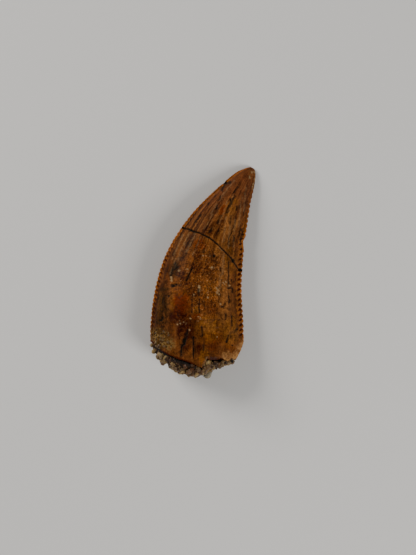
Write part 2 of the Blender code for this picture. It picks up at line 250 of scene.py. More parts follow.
# The faces swell most in front of the middle, thin out to the tip and end in a blunt blade.
chord_from = front_notch + u * (width - front_notch - rear_notch)
place = front_place + across * (chord_from / np.maximum(width, 1e-9))[..., None]
inset = BODY_INSET * np.minimum(1, np.minimum(v / 0.035, (1 - v) / 0.10))
inset = np.minimum(inset, 0.45 * width)
share = np.clip((chord_from - inset) / np.maximum(width - 2 * inset, 1e-9), 0, 1)
bulge = 1 - np.abs(2 * share**0.86 - 1) ** 2.3
thick = BASE_THICKNESS * (1 - v**1.6) ** 0.75
edge_z = (1 - UPPER_SHARE) * thick
wave = 0.05 * np.minimum(thick, 1) * cloud(0.9 * place[..., 0], 0.4 * place[..., 1], 3.0)
from_edge = np.minimum(u, 1 - u) * (width - front_notch - rear_notch)
blade = 0.10 * np.sqrt(1 - (1 - np.clip(from_edge / 0.12, 0, 1)) ** 2)
blade = np.minimum(blade + 0.16 * np.clip(from_edge / 0.85, 0, 1), 0.2 * thick)
upper_z = edge_z + np.hypot((UPPER_SHARE * thick + wave) * bulge, blade)
lower_z = edge_z - np.minimum(edge_z, np.hypot(edge_z * np.minimum(1, 1.15 * bulge), blade))
skin = np.concatenate([place, np.where(above, upper_z, lower_z)[..., None]], axis=-1)

# Below the last section the skin runs straight down to the ragged rim.
foot = skin[-1]
rim_y = np.where(above, level(UPPER_RIM, foot[:, 0]), level(LOWER_RIM, foot[:, 0]))
ragged = 0.10 * cloud(foot[:, 0] * 2.3, foot[:, 2] * 1.2, 7.7)
ragged = ragged + 0.05 * cloud(foot[:, 0] * 7, foot[:, 2] * 4, 2.2)
rim = foot.copy()
rim[:, 1] = np.minimum(rim_y + ragged, FOOT_LEVEL - 0.04)
t = np.linspace(0, 1, RIM_ROWS + 1)[1:, None, None]
lower_skin = foot + (rim - foot) * t
turned_in = ease(t[..., 0] * 4 - 3.2) * ease(from_edge[-1] / 0.5)
lower_skin[..., 2] += np.where(above, -0.10, 0.02) * turned_in

# The broken face turns in over the wall's thickness, and the hollow's wall runs up to its floor.
middle = rim.mean(axis=0)


def drawn_in(inward, at_y):
    """The rim moved towards its middle by some distance, at some Y."""
    out = (rim - middle)[:, (0, 2)]
    shrink = np.maximum(0.2, 1 - inward / np.linalg.norm(out, axis=1))[:, None]
    moved = middle[[0, 2]] + out * shrink
    return np.stack([moved[:, 0], at_y, moved[:, 1]], axis=-1)


inner = [
    drawn_in(WALL * s, rim[:, 1] + 0.10 * cloud(rim[:, 0] * 3, s * 2.0, 5.1) + 0.06 * s)
    for s in np.linspace(0, 1, BREAK_ROWS + 1)[1:]
]
inner += [
    drawn_in(WALL + HOLLOW_SLOPE * s, inner[BREAK_ROWS - 1][:, 1] * (1 - s) + HOLLOW_FLOOR * s)
    for s in np.linspace(0, 1, HOLLOW_ROWS + 1)[1:]
]
floor_middle = np.array([middle[0], HOLLOW_FLOOR, middle[2]])
inner += [inner[-1] * (1 - s) + floor_middle * s for s in (0.25, 0.5, 0.75, 1.0)]
shape = np.concatenate([skin, lower_skin, np.stack(inner)])
rows, columns = shape.shape[:2]
skin_rows = SKIN_ROWS + 1 + RIM_ROWS
is_skin = (np.arange(rows) < skin_rows)[:, None]
x, y = shape[..., 0], shape[..., 1]
top = is_skin & above
below_rows = rows - SKIN_ROWS - 1
height_share = np.concatenate([np.repeat(v, columns, 1), np.zeros((below_rows, columns))])
edge_far = np.concatenate([from_edge, np.repeat(from_edge[-1:], below_rows, 0)])

# The flow runs round the crown and along it, so that stains laid out in it follow its curve.
flow = np.stack([u * FLOW_WIDTH + 0 * y, y, 0 * y], axis=-1)
flow[: SKIN_ROWS + 1, :, 1] = v * FLOW_LENGTH
flow[SKIN_ROWS + 1 :, :, 1] = y[SKIN_ROWS + 1 :] - FOOT_LEVEL

# Marks are drawn from above over uneven coordinates, so that no border is a clean curve.
wander_x = x + 0.10 * cloud(x * 1.7, y * 1.7, 11.0) + 0.05 * cloud(x * 6.1, y * 6.1, 12.0)
wander_y = y + 0.10 * cloud(x * 1.7, y * 1.7, 23.0) + 0.05 * cloud(x * 6.1, y * 6.1, 24.0)
thinning = 1 + 0.9 * cloud(x * 2.9, y * 2.9, 53.0)
breaks = 1 - 0.85 * ease((cloud(x * 3.7, y * 2.3, 57.0) - 0.10) / 0.25)
border = cloud(x * 2.2, y * 2.2, 31.0) + 0.5 * cloud(x * 5.5, y * 5.5, 37.0)


def stroke(path, size, soft=0.05, broken=1.0):
    """1 on an uneven line that was drawn from above, and 0 away from it."""
    line = ease((size * thinning / 2 + soft - from_path(wander_x, wander_y, path)) / soft)
    return line * (1 - broken + broken * breaks) * top


def spot(at_x, at_y, radius_x, radius_y=None, turn=0.0, soft=0.35):
    """1 in a rounded patch and 0 outside it, with an uneven border."""
    away_x, away_y = wander_x - at_x, wander_y - at_y
    along = away_x * np.cos(turn) + away_y * np.sin(turn)
    beside = away_y * np.cos(turn) - away_x * np.sin(turn)
    reach = np.hypot(along / radius_x, beside / (radius_y or radius_x)) + 0.26 * border
    return ease((1 + soft - reach) / (2 * soft)) * top


def patches(table):
    """The strongest of several spots. Each row is a strength and then what spot takes."""
    return np.maximum.reduce([strength * spot(*place) for strength, *place in table])


# The crack that parts the crown runs all round it, and the others run down the seen face. Those
# have a width, a depth and a darkness.
THROUGH_CRACK = [
    (-3.30, 5.55), (-2.19, 5.07), (-1.75, 4.98), (-1.17, 4.72), (-0.62, 4.56), (-0.07, 4.32),
    (0.60, 4.00), (1.02, 3.70), (1.49, 3.37), (1.90, 2.99), (2.37, 2.51), (3.05, 1.83),
    (3.49, 1.28), (3.88, 0.67), (4.21, 0.27), (4.70, 0.10),
]
CRACK_DEPTH = 0.15
SPOT_DEPTH = 0.07
DASH_DEPTH = 0.035
LONG_CRACKS = [
    ([(-1.23, 0.47), (-1.50, -0.07), (-1.71, -0.62), (-1.93, -1.05)], 0.20, 0.12, 1.0),
    ([(-0.40, -3.10), (-0.42, -3.9), (-0.40, -4.60)], 0.14, 0.11, 0.95),
    ([(-1.25, -3.10), (-1.23, -3.9), (-1.25, -4.60)], 0.12, 0.10, 0.85),
    ([(-1.72, -6.50), (-1.85, -7.18), (-2.12, -8.15), (-2.41, -8.47), (-2.48, -9.50)], 0.12, 0.13, 1.0),
    ([(-1.09, -7.40), (-1.05, -8.5), (-1.09, -9.80)], 0.13, 0.15, 1.0),
    ([(-0.13, -6.20), (-0.05, -7.35)], 0.17, 0.10, 0.6),
    ([(2.95, 0.90), (2.92, -0.93), (2.96, -3.24), (3.24, -4.63), (3.24, -6.1), (3.12, -7.64)],
     0.06, 0.06, 0.55),
    ([(0.07, -8.39), (0.07, -9.2)], 0.10, 0.08, 0.6),
    ([(-0.5, -5.42), (0.5, -5.50), (1.7, -5.44), (2.5, -5.55)], 0.05, 0.03, 0.5),
]
fine_x, fine_y = x + 0.4 * (wander_x - x), y + 0.4 * (wander_y - y)
through = ease((0.055 * (1 + thinning) - from_path(fine_x, fine_y, THROUGH_CRACK)) / 0.05) * is_skin
hidden_crack = [(a, b + 0.22 * np.sin(1.9 * a)) for a, b in THROUGH_CRACK]
hidden = ease((0.11 - from_path(fine_x, fine_y, hidden_crack)) / 0.05) * is_skin
through = np.where(above, through, hidden)
cracks = through.copy()
carve = CRACK_DEPTH * through
for path, size, depth, darkness in LONG_CRACKS:
    line = ease((0.3 * size * thinning + 0.05 - from_path(fine_x, fine_y, path)) / 0.05)
    line = line * (0.4 + 0.6 * breaks) * top
    cracks = np.maximum(cracks, darkness * line)
    carve = np.maximum(carve, depth * line)

# Black spots, beads and short dark dashes: small pits that hold black oxide.
DARK_SPOTS = [
    (3.47, 1.27, 0.16, 0.17), (4.35, 0.20, 0.28, 0.14), (-1.4, 4.82, 0.14, 0.12),
    (1.28, 1.83, 0.15, 0.16), (2.62, -5.42, 0.10, 0.10), (-3.42, -1.60, 0.27, 0.20),
    (-3.02, -1.42, 0.15, 0.12), (2.98, -1.85, 0.16, 0.11), (-2.12, -7.90, 0.24, 0.42),
    (3.93, -6.63, 0.14, 0.14), (-4.95, -5.6, 0.10, 0.10), (2.24, -3.98, 0.13, 0.10),
    (2.74, -7.98, 0.14, 0.14), (3.36, -8.45, 0.10, 0.12), (2.60, 10.42, 0.24, 0.10),
    (-4.6, -5.3, 0.13, 0.12), (1.61, 7.43, 0.08, 0.12), (-5.32, -6.71, 0.12, 0.12),
    (-4.79, -5.52, 0.11, 0.12), (-3.93, -2.78, 0.11, 0.11), (3.34, -2.10, 0.09, 0.34),
    (3.30, -0.95, 0.06, 0.17), (1.97, 0.33, 0.07, 0.27), (3.19, 8.33, 0.10, 0.2),
]
spots = np.zeros_like(x)
for at_x, at_y, radius_x, radius_y in DARK_SPOTS:
    spots = np.maximum(spots, spot(at_x, at_y, radius_x, radius_y))
DARK_DASHES = [
    ([(3.05, 7.62), (2.68, 6.84)], 0.21), ([(3.27, 6.40), (3.07, 5.55)], 0.16),
    ([(2.04, 6.50), (1.91, 6.20)], 0.19), ([(1.79, 5.90), (1.68, 5.55)], 0.09),
    ([(1.62, 7.64), (1.50, 7.29)], 0.10), ([(-0.17, 6.71), (-0.64, 6.07)], 0.11),
    ([(0.69, 7.98), (0.52, 7.64)], 0.09), ([(4.00, 9.80), (3.65, 9.20)], 0.15),
    ([(3.70, 8.76), (3.15, 7.80)], 0.13), ([(3.22, 10.50), (2.50, 10.20)], 0.19),
    ([(2.43, 10.07), (2.20, 9.49)], 0.12), ([(3.91, 7.52), (3.93, 7.17)], 0.09),
    ([(3.59, 4.17), (3.59, 3.59)], 0.11), ([(4.62, 5.05), (4.38, 3.55)], 0.10),
    ([(1.01, 5.05), (0.68, 4.54)], 0.12), ([(-0.73, 6.09), (-1.0, 5.7)], 0.07),
    ([(1.9, 5.0), (1.6, 4.4)], 0.06), ([(2.1, 8.8), (1.7, 8.2)], 0.06),
    ([(-3.4, 0.6), (-3.7, -0.4)], 0.11), ([(-3.0, 0.9), (-3.45, -0.2)], 0.07),
    ([(-2.66, 0.67), (-3.14, 0.24)], 0.09), ([(-3.0, 1.3), (-3.3, 0.7)], 0.07),
    ([(2.95, 1.16), (2.98, -1.39)], 0.08), ([(2.98, -2.78), (3.0, -3.6)], 0.09),
    ([(2.6, -4.8), (2.62, -5.2)], 0.09), ([(3.33, -5.1), (3.31, -6.13)], 0.08),
    ([(2.9, -7.3), (2.72, -8.0)], 0.11), ([(-0.5, -2.0), (-0.53, -2.7)], 0.12),
    ([(-1.6, 3.6), (-2.0, 2.8)], 0.06), ([(0.3, 3.1), (0.05, 2.2)], 0.06),
    ([(-4.6, -3.0), (-4.7, -3.9)], 0.07),
]
STAINS = [
    ([(-1.80, -7.1), (-2.0, -7.6), (-2.2, -8.2)], 0.34), ([(-2.35, -8.3), (-2.45, -9.6)], 0.22),
    ([(-3.6, -1.65), (-2.7, -1.45)], 0.22), ([(-0.13, -6.25), (-0.05, -7.3)], 0.14),
    ([(3.45, -6.85), (3.75, -6.75), (3.98, -6.45)], 0.20), ([(0.14, -7.6), (0.12, -8.9)], 0.12),
]
dashes = np.zeros_like(x)
for path, size in STAINS:
    dashes = np.maximum(dashes, 0.7 * stroke(path, size, 0.14, 0.35))
for path, size in DARK_DASHES:
    dashes = np.maximum(dashes, stroke(path, 1.3 * size, 0.08, 0.6))
carve = np.maximum(carve, SPOT_DEPTH * spots)
carve = np.maximum(carve, DASH_DEPTH * dashes)

# Cream flecks and scratches, where the enamel's outer skin has flaked to its white under-layer, and
# painted glints at the tip.
PALE_FLECKS_AND_GLINTS = [
    ([(1.90, 2.79), (2.18, 2.51)], 0.13), ([(0.81, 1.9), (0.83, 1.8)], 0.09),
    ([(1.05, 0.55), (1.30, 0.50)], 0.14), ([(0.0, 1.95), (0.02, 1.85)], 0.08),
    ([(-0.42, -1.65), (-0.46, -2.15)], 0.19), ([(2.64, -1.10), (2.72, -1.2)], 0.12),
    ([(1.56, -1.80), (1.80, -2.2), (1.90, -2.55)], 0.13), ([(-1.03, -2.55), (-1.05, -2.65)], 0.11),
    ([(0.55, -2.84), (0.6, -2.95)], 0.12), ([(1.58, -2.3), (1.62, -2.4)], 0.10),
    ([(1.99, -3.55), (2.05, -3.65)], 0.10), ([(-2.66, -5.50), (-2.62, -5.56)], 0.06),
    ([(-2.22, -5.72), (-2.18, -5.78)], 0.07), ([(-2.92, -5.95), (-2.87, -6.0)], 0.06),
    ([(-1.42, -5.30), (-1.34, -5.38)], 0.09),
    ([(-0.55, -5.05), (-0.35, -5.15), (-0.25, -5.35)], 0.10),
    ([(-0.70, -5.55), (-0.6, -5.65)], 0.08), ([(-1.92, -5.85), (-1.88, -5.95)], 0.12),
    ([(-2.56, -5.82), (-2.5, -5.9)], 0.10), ([(1.62, -7.4), (1.6, -7.5)], 0.09),
    ([(-1.53, -6.5), (-1.5, -6.6)], 0.09), ([(-2.74, 0.14), (-2.70, 0.10)], 0.16),
    ([(-2.0, 0.30), (-1.72, 0.30)], 0.12), ([(-3.61, -0.56), (-3.62, -1.10)], 0.10),
    ([(2.9, -1.4), (3.05, -1.6)], 0.08), ([(2.3, -1.2), (2.5, -1.5)], 0.07),
    # Painted glints: small white highlights down the tip's right edge.
    ([(5.67, 11.75), (5.70, 11.55)], 0.14), ([(6.02, 10.9), (6.03, 10.6)], 0.13),
    ([(5.98, 11.75), (6.05, 11.45)], 0.13), ([(5.9, 10.35), (5.88, 10.2)], 0.09),
    ([(5.80, 9.95), (5.80, 9.7)], 0.12), ([(5.44, 11.1), (5.45, 10.9)], 0.12),
]
LIGHT_FIBRES = [
    ([(3.6, 10.6), (2.0, 8.5)], 0.07), ([(1.9, 8.4), (0.9, 6.7)], 0.07),
    ([(1.1, 6.6), (0.1, 4.9)], 0.06), ([(-0.9, 4.4), (-1.9, 2.3)], 0.09),
    ([(-1.6, 4.5), (-2.9, 1.6)], 0.08), ([(-2.3, 4.3), (-3.5, 1.5)], 0.09),
    ([(-0.3, 3.9), (-1.1, 2.0)], 0.06), ([(2.38, 2.1), (2.25, -0.3)], 0.12),
    ([(2.05, -0.3), (1.9, -1.9)], 0.12), ([(3.7, 6.0), (3.5, 2.9)], 0.06),
    ([(3.1, 5.4), (2.9, 2.8)], 0.07), ([(2.7, 6.3), (2.3, 3.4)], 0.07),
    ([(-3.1, 1.5), (-3.8, -0.2)], 0.08), ([(-2.8, 1.6), (-3.25, 0.4)], 0.07),
    ([(4.5, 8.6), (4.1, 5.2)], 0.08), ([(5.0, 9.8), (4.7, 7.0)], 0.07),
    ([(2.8, 8.2), (1.9, 5.6)], 0.06), ([(3.5, 8.9), (3.0, 6.9)], 0.07),
]
pale = 0.4 * stroke([(0.40, -9.85), (0.28, -10.40), (0.0, -10.85)], 0.16, 0.12, 0.3)
for path, size in PALE_FLECKS_AND_GLINTS:
    pale = np.maximum(pale, stroke(path, size, 0.05))
for path, size in LIGHT_FIBRES:
    pale = np.maximum(pale, 0.24 * stroke(path, 1.4 * size, 0.10))

# A low smooth swelling at the left, and the middle, which is rubbed raw down to a sharp border.
RUBBED_END = -5.55
RUBBED_PATCHES = [(1.0, 0.2, -0.9, 2.3, 3.9, 0.05, 0.5), (0.75, -2.2, -1.5, 1.9, 0.9, 0, 0.5)]
swelling = spot(-2.55, -3.35, 1.05, 1.55, 0, 0.7)
rubbed = patches(RUBBED_PATCHES) * (y > RUBBED_END + 0.12 * border) * (1 - 0.75 * swelling)

# Stains of the enamel, named after their colour. A few of the patches are painted highlight and shadow
# instead.
ORANGE_PATCHES = [
    (1.1, -2.6, -3.6, 1.05, 1.25, 0, 0.5), (0.9, -2.45, -2.75, 1.0, 0.8, 0, 0.5),
    (0.9, -0.4, 3.1, 0.75, 0.65), (1.0, 2.25, 7.15, 0.28, 0.62, -0.5),
    (0.8, 1.2, -3.3, 1.3, 1.2, 0, 0.6), (0.5, 1.0, -7.6, 1.1, 1.2), (0.5, 3.6, -8.2, 1.0, 1.0),
    (0.7, -0.7, -5.1, 0.5, 0.4), (0.6, 4.75, -2.0, 0.5, 5.0),
]
RED_PATCHES = [
    # The patch at (-2.5, -5.15) is a painted shadow along the swelling's lower edge.
    (0.45, -2.2, -3.9, 0.6, 0.9), (1.0, -2.5, -5.15, 1.15, 0.42, 0.15),
    (0.9, -2.0, -6.6, 1.0, 1.5), (0.8, -1.9, -8.5, 0.55, 0.5), (0.9, -0.35, -8.8, 0.45, 0.7),
    (0.8, -2.5, -0.4, 0.35, 0.6), (0.8, -0.9, 0.3, 0.7, 0.55), (0.7, -0.6, 1.9, 0.4, 0.5),
    (0.8, -3.2, -4.9, 0.6, 0.9), (0.7, 1.8, -5.9, 1.2, 0.18), (0.7, 0.85, -10.0, 1.2, 0.25),
    (0.35, 1.1, -8.1, 0.9, 0.8), (0.7, -1.5, -1.3, 0.7, 0.3), (0.6, -1.1, -2.3, 1.0, 0.5),
    (0.45, 1.7, 5.3, 0.9, 1.2, -0.5), (0.6, 0.7, 4.75, 0.55, 0.45, -0.5),
]
TAN_PATCHES = [
    # The second patch, at the tip's right edge, is a painted highlight.
    (0.9, 2.3, -2.2, 0.85, 3.4, 0.03, 0.5), (0.35, 5.65, 11.55, 0.35, 0.8, 0.1, 0.5),
    (0.7, 1.9, 2.4, 0.6, 0.9), (0.35, -3.75, -3.2, 0.35, 1.5, -0.12, 0.5),
    (0.6, 3.0, 5.2, 0.6, 1.8, -0.1, 0.5), (0.55, 0.75, -6.3, 0.8, 0.8),
    (0.5, 3.5, -7.4, 0.7, 1.2, 0.2, 0.5),
]
GOLDEN_PATCHES = [
    (0.85, 0.7, -6.6, 1.3, 1.5, 0, 0.5), (0.75, 3.2, -6.9, 1.0, 1.7, 0, 0.5),
    # The patch at (-2.5, -2.35) is a painted highlight along the swelling's upper edge.
    (0.8, -0.75, -4.35, 0.38, 0.45), (0.4, -2.5, -2.35, 0.95, 0.38), (0.7, -3.45, -3.5, 0.3, 1.2),
    (0.55, 1.0, -2.4, 1.0, 1.5, 0, 0.5), (0.5, 2.9, 1.6, 0.9, 1.7, 0.2, 0.5),
    (0.35, -4.9, -3.6, 0.30, 1.4, -0.1, 0.5), (0.85, 0.15, -9.8, 0.5, 1.2),
    (0.5, 3.3, 7.5, 0.7, 1.2, -0.4, 0.5), (0.2, -2.4, 3.0, 1.3, 1.9, -0.5, 0.5),
]
MOTTLED_PATCHES = [
    (1.0, -0.5, 0.35, 0.9, 0.75, 0, 0.5), (0.9, -0.55, 1.95, 0.6, 0.9, 0, 0.5),
    (0.8, -2.3, -0.5, 0.7, 0.7, 0, 0.5), (0.9, -1.6, -1.35, 0.9, 0.25, 0, 0.5),
    (0.5, -1.2, -2.3, 1.0, 0.5, 0, 0.5), (0.8, -3.0, -5.0, 1.0, 0.7, 0, 0.5),
    (0.7, 0.9, 0.5, 0.8, 1.2, 0, 0.5), (0.6, 1.0, -3.9, 1.0, 0.9, 0, 0.5),
    (0.7, -0.1, -7.0, 0.5, 0.9, 0, 0.5), (0.5, 1.9, 5.4, 0.9, 1.5, -0.5, 0.5),
    (0.8, 0.95, 4.85, 0.6, 0.8, -0.6, 0.5),
]
OLIVE_PATCHES = [
    (0.95, -4.70, -4.6, 0.85, 2.6, -0.1, 0.5), (0.9, 3.75, -6.75, 0.42, 0.35),
    (0.95, 4.40, 4.2, 0.30, 0.9), (1.0, -4.4, -1.95, 0.8, 0.22), (0.9, -3.3, 0.2, 0.5, 1.1, -0.2),
    (0.6, -4.6, -6.6, 0.9, 0.6), (0.7, 2.45, 10.0, 0.35, 0.3), (0.5, 3.0, -7.6, 0.6, 0.5),
    (0.35, 0.6, 6.7, 1.2, 0.5, 0.9),
]
orange = patches(ORANGE_PATCHES)
red = patches(RED_PATCHES)
tan = patches(TAN_PATCHES)
golden = patches(GOLDEN_PATCHES)
mottled_red = patches(MOTTLED_PATCHES)
olive = patches(OLIVE_PATCHES)
rosy = np.maximum(ease((y - 4.0) / 5.5), 0.15 * spot(-2.9, 2.6, 1.4, 1.8, -0.4, 0.5)) * top
rosy = np.maximum(rosy, 0.8 * spot(2.2, 1.9, 0.45, 0.75))

# The hidden face is stained and rubbed in the same ways, in large soft patches.
under = is_skin & ~above
orange = np.where(under, 0.8 * ease(1.6 * cloud(x * 0.45, y * 0.30, 101.0) + 0.1), orange)
red = np.where(under, 0.8 * ease(1.8 * cloud(x * 0.45, y * 0.30, 111.0)), red)
tan = np.where(under, 0.8 * ease(1.8 * cloud(x * 0.60, y * 0.25, 121.0)), tan)
golden = np.where(under, 0.7 * ease(1.8 * cloud(x * 0.60, y * 0.30, 131.0)), golden)
rubbed = np.where(under, 0.9 * ease(2.2 * cloud(x * 0.35, y * 0.25, 141.0) + 0.2), rubbed)
dashes = np.where(under, ease((cloud(x * 1.6, y * 0.5, 151.0) - 0.42) / 0.12), dashes)

# The glassy lower part, the crust of sand beside it, the rim's worn part and painted shade along the
# rim.
smooth_base = spot(0.9, -8.1, 1.6, 2.3, 0, 0.25) * (y < -5.5 + 0.05 * border)
dust = spot(-4.75, -7.75, 1.5, 0.95, -0.5, 0.55)
dust = dust * ease(0.95 + 1.2 * cloud(x * 3.0, y * 3.0, 73.0))
from_rim = from_path(x, y, UPPER_RIM)
worn_reach = 0.62 + 0.50 * np.exp(-(((x - 3.0) / 0.80) ** 2)) + 0.30 * border
rim_light = ease((worn_reach - from_rim) / 0.60) * ease((x - 2.05) / 0.35) * top
rim_light = rim_light * ease(1.25 + 1.6 * cloud(x * 2.6, y * 2.6, 71.0))
# Painted shade: a dark band in the recesses under the rim, at the left and to the right of the tongue.
rim_painted_shade = ease((0.22 + 0.12 * border - from_rim) / 0.14) * top
right_of_tongue = 0.8 * ease((x - 0.35) / 0.1) * ease((1.9 - x) / 0.3)
rim_painted_shade = rim_painted_shade * np.maximum(ease((-0.9 - x) / 0.3), right_of_tongue)

# Saw teeth: the gaps between them run in over the blade as grooves and are stained dark red.
SAW_SLANT = 0.55
FRONT_GROOVE = 0.62
REAR_GROOVE = 0.66
groove = np.zeros_like(x)
gap_stain = np.zeros_like(x)
slant = SAW_SLANT * from_edge
front_gap = notches(front_far + slant, *front_saw)[1] * (1 - 0.75 * ease((front_far - 9.0) / 3.0))
rear_gap = notches(rear_far + slant, *rear_saw)[1] * (1 - 0.40 * ease((rear_far - 8.5) / 1.5))
rear_gap = rear_gap * (1 - 0.85 * ease((rear_far - 11.5) / 1.5))
for gap, side, inner_end in ((front_gap, u < 0.5, FRONT_GROOVE), (rear_gap, u >= 0.5, REAR_GROOVE)):
    run_in = ease((inner_end - from_edge) / 0.4) * np.minimum(1, thick / 1.5)
    groove[: SKIN_ROWS + 1] += gap * run_in * side
    stain = ease((from_edge - 0.05) / 0.12) * ease((inner_end - from_edge) / 0.25)
    gap_stain[: SKIN_ROWS + 1] += gap**0.6 * stain * side

# The lighter bands along both cutting edges.
front_band = ease((0.44 + 0.14 * border - edge_far) / 0.25) * ease((y + 4.5) / 1.5)
front_band = front_band * (u < 0.5) * top
edge_line = ease((0.20 + 0.05 * border - edge_far) / 0.14) * ease((10.5 - y) / 4.0) * top
rear_band = ease((0.78 - edge_far) / 0.25) * ease((y + 7.4) / 0.6) * ease((7.0 - y) / 3.0)
rear_band = rear_band * (u >= 0.5) * top

# Relief out of the surface, in millimetres. It fades away at the cutting edges and at the tip.
FOLD_HEIGHT = 0.05
SWELLING_HEIGHT = 0.09
STREAK_HEIGHT = 0.030
LUMP_HEIGHT = 0.016
RUBBED_HEIGHT = 0.075
RUBBED_DEPTH = 0.04
GROOVE_DEPTH = 0.06
STEP_DEPTH = 0.05
PALE_HEIGHT = 0.02
streaky = cloud(flow[..., 0] * 1.9, flow[..., 1] * 0.16, 4.0)
streaky = streaky + 0.5 * cloud(flow[..., 0] * 5.0, flow[..., 1] * 0.5, 9.0)
lumpy = cloud(x * 2.4, y * 2.4, 13.0) + 0.6 * cloud(x * 6.3, y * 6.3, 17.0)
sugary = np.abs(cloud(x * 4.5, y * 4.5, 19.0)) + 0.7 * cloud(x * 8.7, y * 8.7, 29.0)
step = spot(0.85, -8.2, 1.15, 2.72, 0, 0.05) * ease((-5.45 - y) / 0.07) * (y > -7.5)
folds = cloud(x * 0.9, y * 0.10, 83.0) * ease((-3.5 - y) / 3)
relief = FOLD_HEIGHT * folds + SWELLING_HEIGHT * swelling
relief += STREAK_HEIGHT * streaky + LUMP_HEIGHT * lumpy
relief += rubbed * (RUBBED_HEIGHT * sugary - RUBBED_DEPTH)
relief += PALE_HEIGHT * pale - carve - GROOVE_DEPTH * groove - STEP_DEPTH * step
relief += dust * (0.10 * sugary + 0.07 * cloud(x * 2.8, y * 2.8, 91.0))
relief += rim_light * 0.08 * cloud(x * 2.6, y * 2.6, 95.0)
relief -= rim_light * 0.05 * ease(-2 * cloud(x * 3.3, y * 3.3, 41.0))
relief = relief * ease(edge_far / 0.18) * ease((1 - height_share) / 0.03) * is_skin

# The surface's own directions give its normal, which points up in the middle of the seen face.
run_down = np.gradient(shape, axis=0)
run_round = np.roll(shape, -1, 1) - np.roll(shape, 1, 1)
normal = np.cross(run_down, run_round)
length = np.linalg.norm(normal, axis=-1, keepdims=True)
normal = np.where(length > 1e-9, normal / np.maximum(length, 1e-9), 0)
normal *= np.sign(normal[SKIN_ROWS // 2, UPPER_COLUMNS // 2, 2])
shape = shape + normal * relief[..., None]
shape[..., 2] = np.maximum(shape[..., 2], 0.0)

# A flat grid is rolled up: its columns run round the crown and its rows from the tip inwards.
bpy.ops.object.select_all(action="DESELECT")
bpy.ops.mesh.primitive_grid_add(x_subdivisions=columns, y_subdivisions=rows - 1, size=2)
crown = bpy.context.object
crown.name = "visual_crown"
flat = np.empty(len(crown.data.vertices) * 3)
crown.data.vertices.foreach_get("co", flat)
flat = flat.reshape(-1, 3)
column = np.rint((flat[:, 0] + 1) / 2 * columns).astype(int) % columns
row = np.rint((1 - flat[:, 1]) / 2 * (rows - 1)).astype(int)
crown.data.vertices.foreach_set("co", shape[row, column].ravel())


def keep(name, *fields):
    """Stores up to three fields as one attribute of the crown's surface."""
    stack = [np.broadcast_to(field, x.shape)[row, column] for field in fields]
    stack += [np.zeros_like(stack[0])] * (3 - len(stack))
    made = crown.data.attributes.new(name, "FLOAT_VECTOR", "POINT")
    made.data.foreach_set("vector", np.stack(stack, axis=-1).ravel())


keep("flow", flow[..., 0], flow[..., 1])
keep("marks", cracks, np.maximum(spots, 0.8 * dashes), pale)
keep("tints", orange, red, olive)
keep("wear", rubbed, rosy, np.clip(gap_stain, 0, 1))
keep("rest", rim_light, dust, smooth_base)
keep("where", rear_band, ~is_skin, rim_painted_shade)
keep("more", tan, mottled_red, front_band)
keep("edges", edge_line, golden)

bpy.ops.object.mode_set(mode="EDIT")
bpy.ops.mesh.select_all(action="SELECT")
bpy.ops.mesh.remove_doubles(threshold=1e-6)
bpy.ops.mesh.normals_make_consistent(inside=False)
bpy.ops.object.mode_set(mode="OBJECT")
crown.scale = (0.001, 0.001, 0.001)
bpy.ops.object.transform_apply(location=True, rotation=True, scale=True)
bpy.ops.object.shade_smooth()


class Shade:
    """One socket in a material's nodes, which Python's arithmetic works on."""

    def __init__(self, tree, socket=None):
        self.tree = tree
        self.socket = socket

    def node(self, kind, inputs, output=0, **settings):
        """Adds a node. inputs gives each input, by name or place, a value or another Shade."""
        made = self.tree.nodes.new(kind)
        for name, setting in settings.items():
            setattr(made, name, setting)
        for key, value in inputs.items():
            if isinstance(value, Shade):
                self.tree.links.new(value.socket, made.inputs[key])
            else:
                made.inputs[key].default_value = value
        return Shade(self.tree, made.outputs[output])

    def maths(self, operation, first, second):
        return self.node("ShaderNodeMath", {0: first, 1: second}, operation=operation)

    def __add__(self, other):
        return self.maths("ADD", self, other)

    def __sub__(self, other):
        return self.maths("SUBTRACT", self, other)

    def __mul__(self, other):
        return self.maths("MULTIPLY", self, other)

    def __rsub__(self, other):
        return self.maths("SUBTRACT", other, self)

    __radd__ = __add__
    __rmul__ = __mul__

    def above(self, low, high):
        """0 below low, 1 above high, smooth between them."""
        inputs = {"Value": self, "From Min": low, "From Max": high}
        return self.node("ShaderNodeMapRange", inputs, interpolation_type="SMOOTHSTEP")

    def blend(self, below, over):
        """Colour below where this is 0, and over where it is 1."""
        return self.node("ShaderNodeMix", {0: self, 6: below, 7: over}, output=2, data_type="RGBA")

    def scaled(self, factor):
        """This colour, made brighter or darker."""
        return self.node("ShaderNodeVectorMath", {0: self, "Scale": factor}, operation="SCALE")

    def stretched(self, x, y, z=1.0):
        return self.node("ShaderNodeVectorMath", {0: self, 1: (x, y, z)}, operation="MULTIPLY")

    def noise(self, scale, detail=3.0, rough=0.55, warp=0.0):
        inputs = {"Scale": scale, "Detail": detail, "Roughness": rough, "Distortion": warp}
        return self.node("ShaderNodeTexNoise", {"Vector": self, **inputs})

    def cells(self, scale):
        """How far each place is from the middle of its cell."""
        return self.node("ShaderNodeTexVoronoi", {"Vector": self, "Scale": scale})

    def attribute(self, name):
        """The three parts of a surface attribute, and the attribute as a vector."""
        whole = self.node("ShaderNodeAttribute", {}, output=1, attribute_name=name)
        parts = whole.node("ShaderNodeSeparateXYZ", {0: whole})
        outputs = parts.socket.node.outputs
        return *(Shade(self.tree, out) for out in outputs), whole


def surface(name, gloss):
    """A new material: its Shade to build with, and its shader."""
    made = bpy.data.materials.new(name)
    made.use_nodes = True
    shader = made.node_tree.nodes["Principled BSDF"]
    shader.inputs["Specular IOR Level"].default_value = gloss
    return made, Shade(made.node_tree), shader


def seen(red, green, blue, bright=0.97, vivid=1.03):
    """The base colour that looks like this screen colour in the table's light."""
    linear = [((c / 255 + 0.055) / 1.055) ** 2.4 for c in (red, green, blue)]
    grey = sum(linear) / 3
    return (*(max(0.0005, bright * (grey + vivid * (c - grey))) for c in linear), 1.0)


